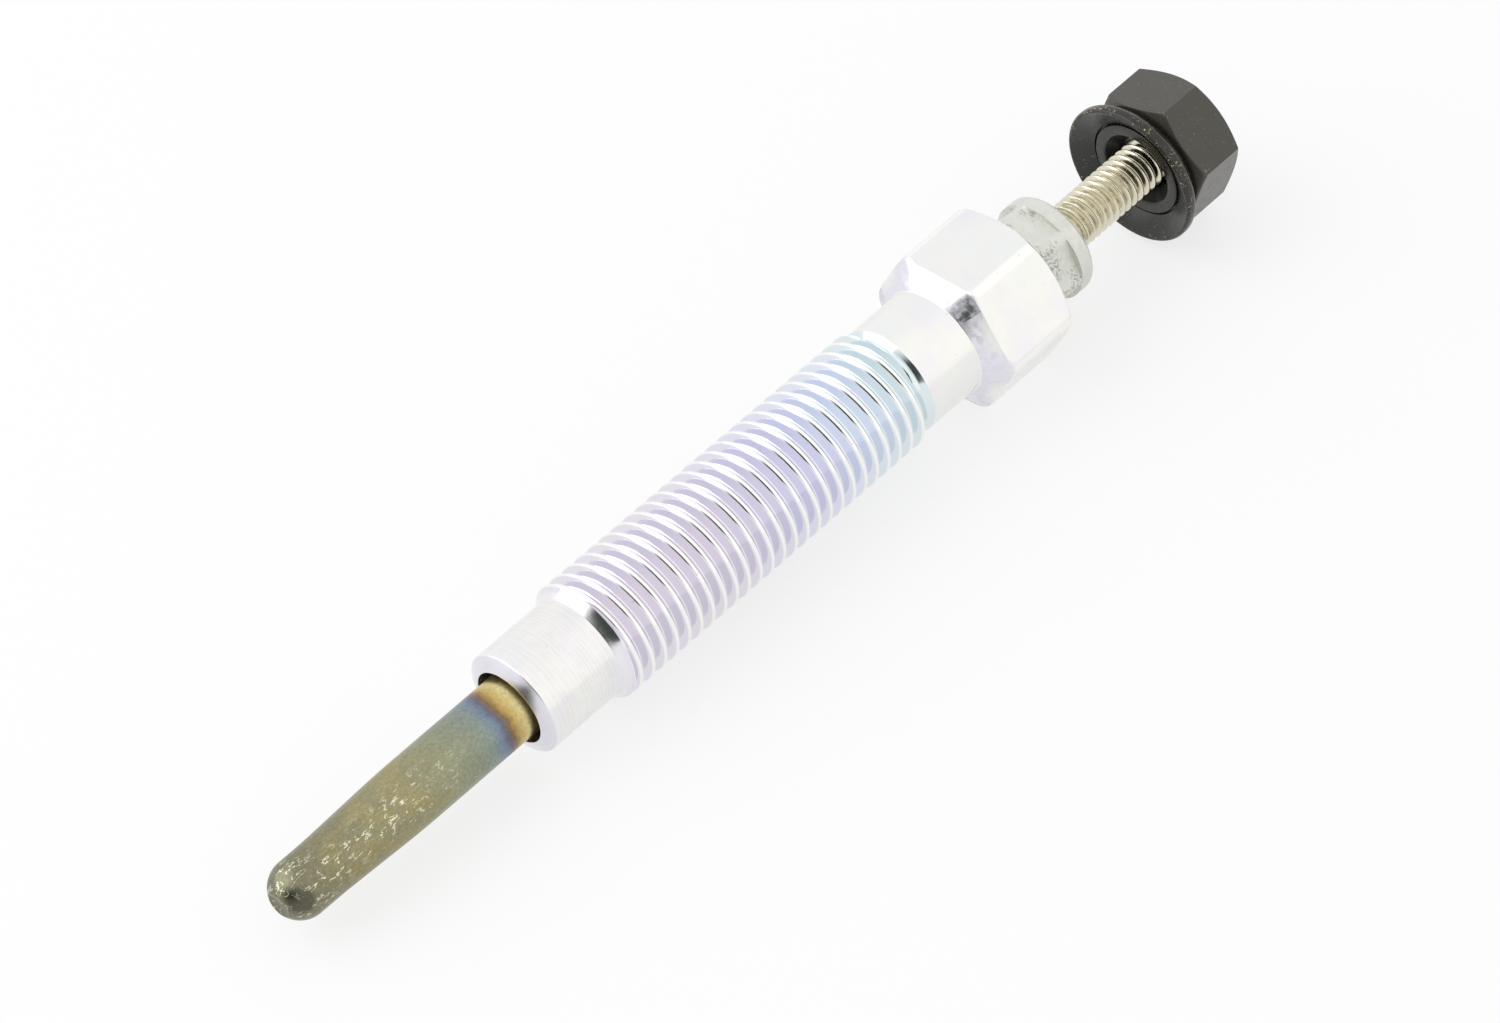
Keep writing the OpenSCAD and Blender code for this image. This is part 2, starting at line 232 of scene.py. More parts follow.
def join_thread(bm, thread, stations):
    """Join a thread's skin to the open ends that a turned blank has at these stations."""
    skin = bpy.data.meshes.new("thread_skin")
    thread.to_mesh(skin)
    thread.free()
    bm.from_mesh(skin)
    bpy.data.meshes.remove(skin)
    for station in stations:
        rims = [edge for edge in bm.edges
                if edge.is_boundary and all(abs(vert.co.x - station) < 2 * OPEN_END for vert in edge.verts)]
        bmesh.ops.bridge_loops(bm, edges=rims)


def finish_piece(name, bm, body, node, material, sharp=38):
    """Make a piece from its mesh, in the place of a node."""
    bmesh.ops.remove_doubles(bm, verts=bm.verts[:], dist=MERGE)
    bmesh.ops.recalc_face_normals(bm, faces=bm.faces[:])
    for face in bm.faces:
        face.smooth = True
    for edge in bm.edges:
        edge.smooth = edge.calc_face_angle(0) < math.radians(sharp)
    bm.transform(PLACE)
    mesh = bpy.data.meshes.new(name)
    bm.to_mesh(mesh)
    bm.free()
    mesh.materials.append(material)
    piece = bpy.data.objects.new(name, mesh)
    bpy.context.scene.collection.objects.link(piece)
    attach(piece, body)
    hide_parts(node)


# Node helpers

def put(tree, kind, inputs=None, **settings):
    """Add a shader node with its settings, its inputs set or linked."""
    node = tree.nodes.new("ShaderNode" + kind)
    for name, value in settings.items():
        setattr(node, name, value)
    for name, value in (inputs or {}).items():
        if isinstance(value, bpy.types.NodeSocket):
            tree.links.new(value, node.inputs[name])
        else:
            node.inputs[name].default_value = value
    return node


def sums(tree, operation, first, second=0.0, third=0.0):
    """Result of a Math node."""
    return put(tree, "Math", {0: first, 1: second, 2: third}, operation=operation).outputs[0]


def times(tree, first, *others):
    """Product of values, or the overlap of masks."""
    for other in others:
        first = sums(tree, "MULTIPLY", first, other)
    return first


def between(tree, value, low, high, start=0.0, stop=1.0):
    """Value brought from one range to another with a smooth step."""
    node = put(tree, "MapRange", {"Value": value, "From Min": low, "From Max": high, "To Min": start,
                                  "To Max": stop}, interpolation_type='SMOOTHSTEP')
    return node.outputs["Result"]


def mix(tree, factor, first, second):
    """Colour between two colours."""
    node = put(tree, "Mix", {0: factor, 6: first, 7: second}, data_type='RGBA')
    return node.outputs[2]


def noise(tree, vector, scale, detail=2.0, roughness=0.5):
    """Soft noise at a place."""
    node = put(tree, "TexNoise", {"Vector": vector, "Scale": scale, "Detail": detail, "Roughness": roughness})
    return node.outputs["Fac"]


def ramp(tree, value, stops):
    """Colour ramp through (position, colour) stops."""
    node = put(tree, "ValToRGB", {"Fac": value})
    band = node.color_ramp
    for _ in stops[2:]:
        band.elements.new(0.5)
    for element, (position, colour) in zip(band.elements, stops):
        element.position = position
        element.color = colour
    return node.outputs["Color"]


def stretched(tree, vector, scale):
    """Vector scaled by its own amount on each axis."""
    return put(tree, "Mapping", {"Vector": vector, "Scale": scale}).outputs[0]


def rgb(red, green, blue):
    """Linear colour of a colour given as screen values."""
    def straight(part):
        part /= 255
        return part / 12.92 if part <= 0.04045 else ((part + 0.055) / 1.055) ** 2.4
    return (straight(red), straight(green), straight(blue), 1.0)


def new_group(name, ins, outs):
    """Empty node group with named inputs and outputs."""
    group = bpy.data.node_groups.new(name, "ShaderNodeTree")
    for socket, kind in ins:
        group.interface.new_socket(socket, in_out='INPUT', socket_type="NodeSocket" + kind)
    for socket, kind in outs:
        group.interface.new_socket(socket, in_out='OUTPUT', socket_type="NodeSocket" + kind)
    return group, group.nodes.new("NodeGroupInput").outputs, group.nodes.new("NodeGroupOutput").inputs


def fill_group(tree, group, inputs):
    """Put a node group in a tree with its inputs filled."""
    node = tree.nodes.new("ShaderNodeGroup")
    node.node_tree = group
    for name, value in inputs.items():
        if isinstance(value, bpy.types.NodeSocket):
            tree.links.new(value, node.inputs[name])
        else:
            node.inputs[name].default_value = value
    return node.outputs


# Shared effects

def make_plug_measures():
    """Station, radius and angle on the plug, in millimetres and turns."""
    group, given, result = new_group("plug_measures", [("Object", "Vector")],
                                     [("Place", "Vector"), ("Station", "Float"), ("Radius", "Float"),
                                      ("Turn", "Float")])
    back = PLACE.inverted()
    on_plug = put(group, "Mapping", {"Vector": given["Object"], "Location": back.to_translation(),
                                     "Rotation": back.to_euler(), "Scale": back.to_scale()}).outputs[0]
    parts = put(group, "SeparateXYZ", {0: on_plug}).outputs
    across = times(group, parts[1], parts[1])
    radius = sums(group, "SQRT", sums(group, "MULTIPLY_ADD", parts[2], parts[2], across))
    turn = sums(group, "DIVIDE", sums(group, "ARCTAN2", parts[1], parts[2]), math.tau)
    for socket, value in (("Place", on_plug), ("Station", parts[0]), ("Radius", radius), ("Turn", turn)):
        group.links.new(value, result[socket])
    return group


def make_turning_marks():
    """Fine uneven rings that a lathe tool leaves."""
    group, given, result = new_group("turning_marks", [("Place", "Vector"), ("Station", "Float"),
                                                       ("Radius", "Float"), ("Rings", "Float")],
                                     [("Height", "Float")])
    along = times(group, sums(group, "ADD", given["Station"], given["Radius"]), given["Rings"])
    rings = put(group, "TexNoise", {"W": along, "Scale": 1.0, "Detail": 2.0}, noise_dimensions='1D')
    patches = between(group, noise(group, given["Place"], 0.7), 0.35, 0.7, 0.65, 1.0)
    group.links.new(times(group, rings.outputs["Fac"], patches), result["Height"])
    return group


def make_bloom():
    """Pale changing hues of a passivated plating."""
    group, given, result = new_group("passivation_bloom", [("Place", "Vector"), ("Scale", "Float")],
                                     [("Color", "Color")])
    drift = noise(group, given["Place"], given["Scale"], 3.0, 0.55)
    hues = ramp(group, drift, [
        (0.28, rgb(235, 233, 240)), (0.42, rgb(238, 237, 237)), (0.52, rgb(241, 240, 236)),
        (0.62, rgb(238, 240, 237)), (0.74, rgb(242, 240, 234))])
    group.links.new(hues, result["Color"])
    return group


def make_specks():
    """Small scattered specks."""
    group, given, result = new_group("specks", [("Place", "Vector"), ("Scale", "Float"), ("Least", "Float")],
                                     [("Mask", "Float")])
    grain = noise(group, given["Place"], given["Scale"], 4.0, 0.6)
    group.links.new(between(group, grain, given["Least"], sums(group, "ADD", given["Least"], 0.07)),
                    result["Mask"])
    return group


MEASURES = make_plug_measures()
TURNING = make_turning_marks()
BLOOM = make_bloom()
SPECKS = make_specks()


def start_finish(name, **constants):
    """New material with a Principled shader, and the plug's measures in it."""
    material = bpy.data.materials.new(name)
    material.use_nodes = True
    tree = material.node_tree
    tree.nodes.clear()
    shader = put(tree, "BsdfPrincipled", constants)
    tree.links.new(shader.outputs[0], put(tree, "OutputMaterial").inputs[0])
    measures = fill_group(tree, MEASURES, {"Object": put(tree, "TexCoord").outputs["Object"]})
    return material, tree, shader, measures


def give(tree, shader, colour=None, roughness=None, height=None, depth=0.02):
    """Link a finish's colour, roughness and relief to its shader; depth is in millimetres."""
    if colour:
        tree.links.new(colour, shader.inputs["Base Color"])
    if roughness:
        tree.links.new(roughness, shader.inputs["Roughness"])
    if height:
        bump = put(tree, "Bump", {"Height": height, "Strength": 1.0, "Distance": depth * MM})
        tree.links.new(bump.outputs[0], shader.inputs["Normal"])


# Finishes

def zinc_areas(tree, plug):
    """Masks of the places on the body that were made in different ways, and of the hexagon's corners, where a
    highlight is painted.
    """
    station, radius = plug["Station"], plug["Radius"]
    thread = times(tree, between(tree, station, THREAD - 0.8, THREAD),
                   between(tree, station, SHANK - 0.05, SHANK + 0.05, 1.0, 0.0))
    flank = times(tree, thread, between(tree, radius, THREAD_R - 0.03, THREAD_R - 0.12))
    cone_r = sums(tree, "MULTIPLY_ADD", sums(tree, "SUBTRACT", station, HEX), 1 / math.tan(FLANK), SHANK_R)
    cone = times(tree, between(tree, sums(tree, "SUBTRACT", cone_r, radius), 0.45, 0.15),
                 between(tree, station, HEX, HEX + 0.1),
                 between(tree, station, HEX_CORNER + 0.2, HEX_CORNER))
    seat = times(tree, between(tree, station, SEAT + 0.03, SEAT - 0.05),
                 between(tree, radius, MOUTH_R - 0.05, MOUTH_R + 0.1))
    # painted highlight: a pale line along the hexagon's rounded corners
    corner = times(tree, between(tree, station, HEX_CORNER - 0.2, HEX_CORNER + 0.2),
                   between(tree, radius, HEX_CORNER_R - 0.088, HEX_CORNER_R - 0.008, 0.0, 0.7))
    return {"thread": thread, "flank": flank, "cone": cone, "seat": seat, "corner": corner}


def zinc_tints(tree, plug, areas):
    """Colour of the plate: warm white where it was turned, lavender to blue where the thread was rolled."""
    station, place = plug["Station"], plug["Place"]
    hues = fill_group(tree, BLOOM, {"Place": place, "Scale": 0.16})["Color"]
    drift = sums(tree, "MULTIPLY_ADD", noise(tree, place, 0.22, 3.0), 8.0, station)
    along = sums(tree, "DIVIDE", sums(tree, "SUBTRACT", drift, THREAD + 4.0), SHANK - THREAD)
    rolled = ramp(tree, along, [
        (0.0, rgb(229, 225, 234)), (0.35, rgb(228, 224, 234)), (0.62, rgb(224, 224, 239)),
        (0.80, rgb(225, 231, 242)), (0.94, rgb(224, 234, 237))])
    tints = mix(tree, areas["flank"], mix(tree, areas["thread"], hues, rgb(246, 246, 244)), rolled)
    tints = mix(tree, sums(tree, "MAXIMUM", areas["cone"], areas["seat"]), tints, rgb(230, 228, 236))
    # painted highlight: the hexagon's corners are made near-white
    tints = mix(tree, areas["corner"], tints, rgb(251, 250, 247))
    pits = fill_group(tree, SPECKS, {"Place": place, "Scale": 2.6, "Least": 0.66})["Mask"]
    return mix(tree, times(tree, pits, 0.30), tints, rgb(164, 160, 154))


def make_zinc():
    """Bright zinc plate, with the rings of a lathe tool on the nose and fainter ones behind the thread."""
    material, tree, shader, plug = start_finish("zinc_plate", Metallic=1.0)
    station, place = plug["Station"], plug["Place"]
    areas = zinc_areas(tree, plug)
    rings = fill_group(tree, TURNING, {"Place": place, "Station": station, "Radius": plug["Radius"],
                                       "Rings": 8.0})["Height"]
    smooth = sums(tree, "MAXIMUM", areas["thread"], times(tree, areas["cone"], 0.2))
    turned = times(tree, rings, sums(tree, "SUBTRACT", 1.0, smooth),
                   between(tree, station, RUN_OUT + 0.1, RUN_OUT, 0.3, 1.0))
    colour = mix(tree, between(tree, turned, 0.30, 0.60, 0.0, 0.14), zinc_tints(tree, plug, areas),
                 rgb(182, 180, 174))
    height = sums(tree, "MULTIPLY_ADD", noise(tree, place, 3.0, 4.0), 0.4, turned)
    dull = between(tree, noise(tree, place, 1.2, 3.0), 0.3, 0.7, 0.21, 0.26)
    cloudy = between(tree, noise(tree, place, 1.6, 4.0), 0.35, 0.65, -0.2, 0.9)
    rough = times(tree, dull, between(tree, smooth, 0.0, 1.0, 1.0, 0.45),
                  sums(tree, "MULTIPLY_ADD", areas["cone"], cloudy, 1.0))
    give(tree, shader, colour, rough, height, 0.005)
    return material


def heat_tints(tree, plug, waves):
    """Colours that heat left along the tube, with golden patches."""
    station = plug["Station"]
    heat = sums(tree, "MULTIPLY_ADD", sums(tree, "SUBTRACT", waves, 0.5), 0.9, station)
    tints = ramp(tree, sums(tree, "DIVIDE", heat, HEAT_SCALE), [
        (0.00, rgb(126, 125, 105)), (0.12, rgb(138, 135, 108)), (0.32, rgb(150, 146, 117)),
        (0.52, rgb(156, 153, 123)), (0.64, rgb(155, 157, 131)), (0.72, rgb(148, 155, 136)),
        (0.765, rgb(143, 155, 148)), (0.80, rgb(128, 144, 162)), (0.823, rgb(116, 114, 128)),
        (0.84, rgb(142, 116, 84)), (0.86, rgb(198, 170, 104)), (0.89, rgb(228, 211, 150)),
        (0.93, rgb(232, 222, 178))])
    golden = times(tree, between(tree, waves, 0.40, 0.60, 0.0, 0.45),
                   between(tree, station, GOLDEN_END, WORN_FULL),
                   between(tree, station, GOLDEN_START, GOLDEN_FULL))
    return mix(tree, golden, tints, rgb(172, 160, 108))


def tube_scratches(tree, plug):
    """Mask of the bright curls and flecks on the tube's worn side and around its tip."""
    station, place = plug["Station"], plug["Place"]
    beside = sums(tree, "ABSOLUTE", sums(tree, "SUBTRACT", plug["Turn"], WORN_SIDE))
    used = times(tree, between(tree, station, WORN_END, WORN_FULL),
                 between(tree, beside, 0.13, 0.03, 0.10, 1.0))
    used = sums(tree, "MAXIMUM", used, between(tree, station, TIP_WORN_END, TIP_WORN_FULL, 0.0, 0.8))
    curls = noise(tree, stretched(tree, place, (0.35, 1.2, 1.2)), 1.5, 3.0, 0.6)
    lines = between(tree, sums(tree, "ABSOLUTE", sums(tree, "SUBTRACT", curls, 0.5)), 0.026, 0.008)
    broken = between(tree, noise(tree, place, 1.6, 2.0), 0.47, 0.56)
    flecks = fill_group(tree, SPECKS, {"Place": place, "Scale": 7.5, "Least": 0.65})["Mask"]
    return times(tree, sums(tree, "MAXIMUM", times(tree, lines, broken), flecks), used)


def make_heater_alloy():
    """Scaled heater tube with heat tints near the body, bright scratches and a burnt tip."""
    material, tree, shader, plug = start_finish("heater_alloy", Metallic=1.0)
    place = plug["Place"]
    waves = noise(tree, stretched(tree, place, (0.25, 0.5, 0.5)), 1.6, 3.0)
    mottle = between(tree, noise(tree, place, 4.5, 5.0, 0.65), 0.3, 0.7, 0.79, 1.04)
    shade = put(tree, "CombineColor", {0: mottle, 1: mottle, 2: mottle}).outputs[0]
    dulled = put(tree, "Mix", {0: 1.0, 6: heat_tints(tree, plug, waves), 7: shade}, data_type='RGBA',
                 blend_type='MULTIPLY').outputs[2]
    bright = tube_scratches(tree, plug)
    worn = mix(tree, times(tree, bright, 0.9), dulled, rgb(238, 234, 208))
    from_mark = put(tree, "VectorMath", {0: place, 1: BURNT_MARK}, operation='DISTANCE').outputs["Value"]
    colour = mix(tree, between(tree, from_mark, 1.25, 0.80, 0.0, 0.62), worn, rgb(72, 70, 62))
    rough = sums(tree, "MULTIPLY_ADD", bright, -0.12, between(tree, waves, 0.3, 0.7, 0.30, 0.40))
    give(tree, shader, colour, rough, sums(tree, "ADD", mottle, bright), 0.012)
    return material


def make_nickel():
    """Bright nickel plate with a warm cast, dirt in the thread and faint rolling marks."""
    material, tree, shader, plug = start_finish("nickel", Metallic=1.0)
    place, radius = plug["Place"], plug["Radius"]
    warm = mix(tree, noise(tree, place, 0.8, 3.0), rgb(214, 208, 186), rgb(232, 227, 209))
    deep = between(tree, radius, STUD_R - 0.18, STUD_R - 0.36)
    dirt = times(tree, deep, between(tree, noise(tree, place, 1.4, 4.0), 0.4, 0.65, 0.10, 0.50))
    colour = mix(tree, dirt, warm, rgb(110, 102, 78))
    rough = between(tree, noise(tree, place, 2.5, 3.0), 0.3, 0.7, 0.09, 0.20)
    give(tree, shader, colour, rough, noise(tree, stretched(tree, place, (1.0, 3.0, 3.0)), 3.0, 3.0), 0.005)
    return material


def make_collar_grey():
    """Matte pressed collar with tool marks dragged over its flats."""
    material, tree, shader, plug = start_finish("collar_grey", Metallic=0.85)
    place, station = plug["Place"], plug["Station"]
    base = mix(tree, noise(tree, place, 1.1, 5.0, 0.65), rgb(206, 207, 198), rgb(231, 232, 225))
    on_crimp = between(tree, station, CRIMP_END + 0.1, CRIMP_END - 0.1)
    slanted = put(tree, "Mapping", {"Vector": place, "Rotation": (0.35, 0.5, 0.4), "Scale": (5.0, 1.2, 5.0)})
    hatch = noise(tree, slanted.outputs[0], 1.2, 4.0, 0.7)
    dragged = times(tree, between(tree, hatch, 0.50, 0.62), on_crimp,
                    between(tree, noise(tree, place, 0.45), 0.44, 0.58))
    colour = mix(tree, times(tree, dragged, 0.55), base, rgb(124, 124, 114))
    rough = between(tree, noise(tree, place, 2.0, 3.0), 0.3, 0.7, 0.38, 0.54)
    height = sums(tree, "SUBTRACT", noise(tree, place, 4.0, 5.0, 0.65), dragged)
    give(tree, shader, colour, rough, height, 0.03)
    return material


def make_black_oxide():
    """Blacked and oiled steel with dust on it, a painted shade that turns the countersink and bore black, and
    brassy on worn edges.
    """
    material, tree, shader, plug = start_finish("black_oxide", IOR=1.5)
    place, radius, station = plug["Place"], plug["Radius"], plug["Station"]
    patchy = noise(tree, place, 0.6, 4.0)
    on_nut = between(tree, station, NUT - 0.1, NUT)
    base = mix(tree, on_nut, mix(tree, patchy, rgb(26, 25, 21), rgb(34, 32, 27)),
               mix(tree, patchy, rgb(66, 64, 56), rgb(76, 73, 65)))
    dust = fill_group(tree, SPECKS, {"Place": place, "Scale": 5.2, "Least": 0.64})["Mask"]
    dusty = mix(tree, times(tree, dust, 0.5), base, rgb(168, 164, 150))
    rim = times(tree, between(tree, radius, WASHER_R - 0.30, WASHER_R - 0.15),
                between(tree, station, WASHER_RIM + 0.5, WASHER_RIM + 0.3))
    corner = times(tree, between(tree, radius, NUT_CORNER_R - 0.42, NUT_CORNER_R - 0.27),
                   between(tree, station, NUT + 0.9, NUT + 0.5))
    chips = times(tree, between(tree, noise(tree, place, 6.0, 3.0, 0.6), 0.60, 0.66),
                  between(tree, noise(tree, place, 0.6, 2.0), 0.44, 0.54))
    worn = times(tree, sums(tree, "MAXIMUM", rim, times(tree, corner, 0.7)), chips, 0.9)
    # painted shade: the countersink and bore are darkened nearly to black and made metallic, so they reflect
    # almost nothing
    painted_bore_shade = times(tree, between(tree, radius, SINK_R + 0.05, SINK_R - 0.1),
                 between(tree, station, LIP, LIP + 0.15),
                 between(tree, station, NUT_END - 0.3, NUT_END - 0.5))
    tree.links.new(painted_bore_shade, shader.inputs["Metallic"])
    colour = mix(tree, worn, mix(tree, painted_bore_shade, dusty, rgb(24, 23, 21)), rgb(224, 204, 146))
    oiled = between(tree, noise(tree, place, 1.5, 3.0), 0.3, 0.7, 0.20, 0.29)
    rough = sums(tree, "MULTIPLY_ADD", dust, 0.15, oiled)
    give(tree, shader, colour, rough, noise(tree, place, 5.0, 4.0), 0.006)
    return material


def make_inner_finish(name, low, high, scale, roughness, depth, **constants):
    """Plain finish with a fine grain for a piece inside the body."""
    material, tree, shader, plug = start_finish(name, **constants)
    grain = noise(tree, plug["Place"], scale, 4.0, 0.6)
    rough = between(tree, grain, 0.3, 0.7, roughness - 0.06, roughness + 0.06)
    give(tree, shader, mix(tree, grain, low, high), rough, grain, depth)
    return material


ZINC = make_zinc()
HEATER_ALLOY = make_heater_alloy()
NICKEL = make_nickel()
COLLAR_GREY = make_collar_grey()
BLACK_OXIDE = make_black_oxide()
POWDER = make_inner_finish("powder", rgb(232, 229, 216), rgb(248, 246, 238), 6.0, 0.9, 0.03)
COIL_WIRE = make_inner_finish("coil_wire", rgb(128, 112, 98), rgb(176, 156, 136), 5.0, 0.4, 0.01,
                              Metallic=1.0)
SEAL_RUBBER = make_inner_finish("seal_rubber", rgb(34, 34, 34), rgb(52, 52, 52), 5.0, 0.7, 0.01)
BUSH_PLASTIC = make_inner_finish("bush_plastic", rgb(78, 54, 42), rgb(98, 70, 54), 3.0, 0.5, 0.01)


# Pieces

def make_body():
    """Screwed body: nose with its sealing cone, rolled thread, shank and hexagon, bored through."""
    front, back = NOSE - 0.4, SHANK - GROOVE_RISE - 0.05
    bm = bmesh.new()
    draw_outline(bm, [
        (front - OPEN_END, NOSE_R, 0), (SEAT, NOSE_R, 0.08), (BODY, MOUTH_R, 0.14), (MOUTH, MOUTH_R, 0),
        (GRIP, GRIP_R, 0), (TUBE_END, GRIP_R, 0), (TUBE_END, BORE_R, 0), (RECESS, BORE_R, 0),
        (RECESS, RECESS_R, 0), (HEX_END, RECESS_R, 0.15), (HEX_END, HEX_CORNER_R - HEX_BEVEL, 0.25),
        (HEX_END - HEX_BEVEL * math.tan(FLANK), HEX_CORNER_R, 0.25), (HEX_CORNER + HEX_SOFT, HEX_CORNER_R, 0),
        (HEX_CORNER, HEX_CORNER_R, 0.25), (HEX, SHANK_R, 0.12), (SHANK, SHANK_R, 0.06),
        (SHANK - GROOVE_RISE, GROOVE_R, 0.05), (back + OPEN_END, GROOVE_R, 0)])
    refine_outline(bm, HEX + 0.1, HEX_CORNER + HEX_SOFT, SHANK_R, FINE_CUT)
    refine_outline(bm, HEX_END - 1.2, HEX_END, HEX_CORNER_R - HEX_BEVEL - 0.4, FINE_CUT)
    turn_outline(bm, BODY_STEPS)
    press_flats(bm, HEX_ACROSS, 0, HEX + 0.1, HEX_END, HEX_PRESS_R,
                [(HEX_CORNER, SOFT_EDGE), (HEX_CORNER + HEX_SOFT, CRISP_EDGE)])
    thread = roll_thread(
        BODY_PITCH, THREAD_R, BODY_CREST, BODY_ROOT_ROUND, front, back,
        high=[(NOSE, NOSE_R), (THREAD, THREAD_R), (RUN_OUT - 0.35, THREAD_R), (RUN_OUT + 0.2, GROOVE_R)],
        low=[(NOSE, NOSE_R), (THREAD - 0.05, THREAD_R - 0.05), (THREAD + 0.45, THREAD_ROOT_R),
             (RUN_OUT, THREAD_ROOT_R), (RUN_OUT + 0.2, GROOVE_R)], steps=THREAD_STEPS)
    join_thread(bm, thread, (front, back))
    finish_piece("screwed_body", bm, "plug", "housing", ZINC)


def make_tube():
    """Heater tube with a swaged front, a round end and the dimple of its weld."""
    ball = (DIMPLE_R ** 2 + DIMPLE_DEPTH ** 2) / (2 * DIMPLE_DEPTH)
    rim = TUBE_FRONT_R - math.sqrt(TUBE_FRONT_R ** 2 - DIMPLE_R ** 2)
    spread = math.degrees(math.asin(DIMPLE_R / ball))
    start = 180 - math.degrees(math.asin(DIMPLE_R / TUBE_FRONT_R))
    dimple = arc(rim + DIMPLE_DEPTH - ball, 0, ball, 0, spread, 8)
    dome = arc(TUBE_FRONT_R, 0, TUBE_FRONT_R, start, 90, 20)
    inner = TUBE_FRONT_R - TUBE_WALL
    bm = bmesh.new()
    draw_outline(bm, dimple + dome[1:] + [
        (TUBE_FRONT, TUBE_FRONT_R, 0.8), (TUBE_TAPER, TUBE_R, 1.5), (TUBE_END, TUBE_R, 0.05),
        (TUBE_END, TUBE_R - TUBE_WALL, 0), (TUBE_TAPER, TUBE_R - TUBE_WALL, 0), (TUBE_FRONT, inner, 0),
        (TIP_WALL + inner - COIL_R, inner, 0), (TIP_WALL, COIL_R, 0), (TIP_WALL, 0, 0)])
    turn_outline(bm, TUBE_STEPS)
    finish_piece("heater_tube", bm, "plug", "glow_tube", HEATER_ALLOY)


def make_rod():
    """Current rod, from its pin in the coil to the threaded stud."""
    front, back = COLLAR_END - 1.0, STUD_END - 0.02
    bm = bmesh.new()
    draw_outline(bm, [(PIN, 0, 0), (PIN, PIN_R, 0.1), (ROD, PIN_R, 0), (ROD, INNER_ROD_R, 0.1),
                      (ROD_STEP, INNER_ROD_R, 0), (ROD_STEP, ROD_R, 0.1), (COLLAR, ROD_R, 0),
                      (COLLAR, STUD_R, 0), (front - OPEN_END, STUD_R, 0)])
    draw_outline(bm, [(back + 0.01, STUD_R - STUD_BEVEL + 0.01, 0), (STUD_END, STUD_R - STUD_BEVEL, 0),
                      (STUD_END, 0, 0)])
    turn_outline(bm, STUD_STEPS)
    thread = roll_thread(
        STUD_PITCH, STUD_R, STUD_CREST, STUD_ROOT_ROUND, front, back,
        high=[(STUD_END - STUD_BEVEL, STUD_R), (STUD_END, STUD_R - STUD_BEVEL)],
        low=[(COLLAR_END - 0.6, STUD_R), (COLLAR_END - 0.2, STUD_ROOT_R)], steps=STUD_STEPS)
    join_thread(bm, thread, (front, back))
    finish_piece("current_rod", bm, "plug", "centre_rod", NICKEL)


def make_collar():
    """Collar with six crimped flats and a round lip."""
    bm = bmesh.new()
    draw_outline(bm, [
        (COLLAR, COLLAR_BORE_R, 0), (COLLAR, COLLAR_R, 0.15), (CRIMP_END - 0.06, COLLAR_R, 0),
        (CRIMP_END, COLLAR_R, 0), (COLLAR_END, COLLAR_R, 0.35),
        (COLLAR_END, COLLAR_BORE_R, 0.15)], closed=True)
    refine_outline(bm, COLLAR, COLLAR_END, COLLAR_R - 0.6, COLLAR_CUT)
    turn_outline(bm, COLLAR_STEPS)
    press_flats(bm, CRIMP_ACROSS, CRIMP_TURN, COLLAR - 1, CRIMP_END - 0.05, CRIMP_PRESS_R,
                [(COLLAR, CRISP_EDGE)])
    finish_piece("crimped_collar", bm, "plug", "crimp_collar", COLLAR_GREY)


def make_washer():
    """Dished washer with a rolled rim and a narrow gap around the nut's lip."""
    bm = bmesh.new()
    draw_outline(bm, [
        (WASHER_BACK, WASHER_IN_R, 0.08), (WASHER_FRONT, WASHER_IN_R, 0.08), (WASHER_FRONT, LIP_GAP_R, 0),
        (LIP_GAP_EDGE, LIP_GAP_R, 0.06), (WASHER_RIM, WASHER_R - 0.2, 0.15),
        (WASHER_RIM + 0.2, WASHER_R, 0.15), (WASHER_RIM + WASHER_THICK, WASHER_R, 0.2),
        (WASHER_BACK, WASHER_DISH_R + 0.3, 0.6)], closed=True)
    turn_outline(bm, WASHER_STEPS)
    finish_piece("dished_washer", bm, "washer", "nut_washer", BLACK_OXIDE)


def make_nut():
    """Six-sided nut with a neck, a lip swaged over the washer and a countersunk bore."""
    front_rise = (NUT_CORNER_R - NUT_FACE_R) * math.tan(FLANK)
    back_rise = (NUT_CORNER_R - NUT_BACK_R) * math.tan(FLANK)
    bm = bmesh.new()
    draw_outline(bm, [
        (LIP, SINK_R, 0.08), (LIP, LIP_R, 0.12), (LIP + LIP_THICK, LIP_R, 0.1), (LIP + LIP_THICK, NECK_R, 0),
        (NUT, NECK_R, 0), (NUT, NUT_FACE_R, 0.05), (NUT + front_rise, NUT_CORNER_R, 0.1),
        (NUT_END - back_rise, NUT_CORNER_R, 0.1), (NUT_END, NUT_BACK_R, 0.15),
        (NUT_END, NUT_BORE_R + NUT_BACK_BEVEL, 0.05), (NUT_END - NUT_BACK_BEVEL, NUT_BORE_R, 0),
        (SINK, NUT_BORE_R, 0)], closed=True)
    refine_outline(bm, NUT, NUT_END, NUT_BACK_R - 0.1, FINE_CUT)
    turn_outline(bm, NUT_STEPS)
    press_flats(bm, NUT_ACROSS, NUT_TURN, NUT, NUT_END, LIP_R + 0.1, [(NUT, CRISP_EDGE)])
    finish_piece("stud_nut", bm, "nut", "terminal_nut", BLACK_OXIDE)


def dress_inner_nodes():
    """Give the pieces inside the body their finishes."""
    finishes = {"magnesia_fill": POWDER, "heating_coil": COIL_WIRE, "regulating_coil": COIL_WIRE,
                "tube_seal": SEAL_RUBBER, "rod_seal_ring": SEAL_RUBBER, "insulating_bush": BUSH_PLASTIC}
    for node, finish in finishes.items():
        for place in frame["nodes"][node].material_slots:
            place.material = finish


# Studio

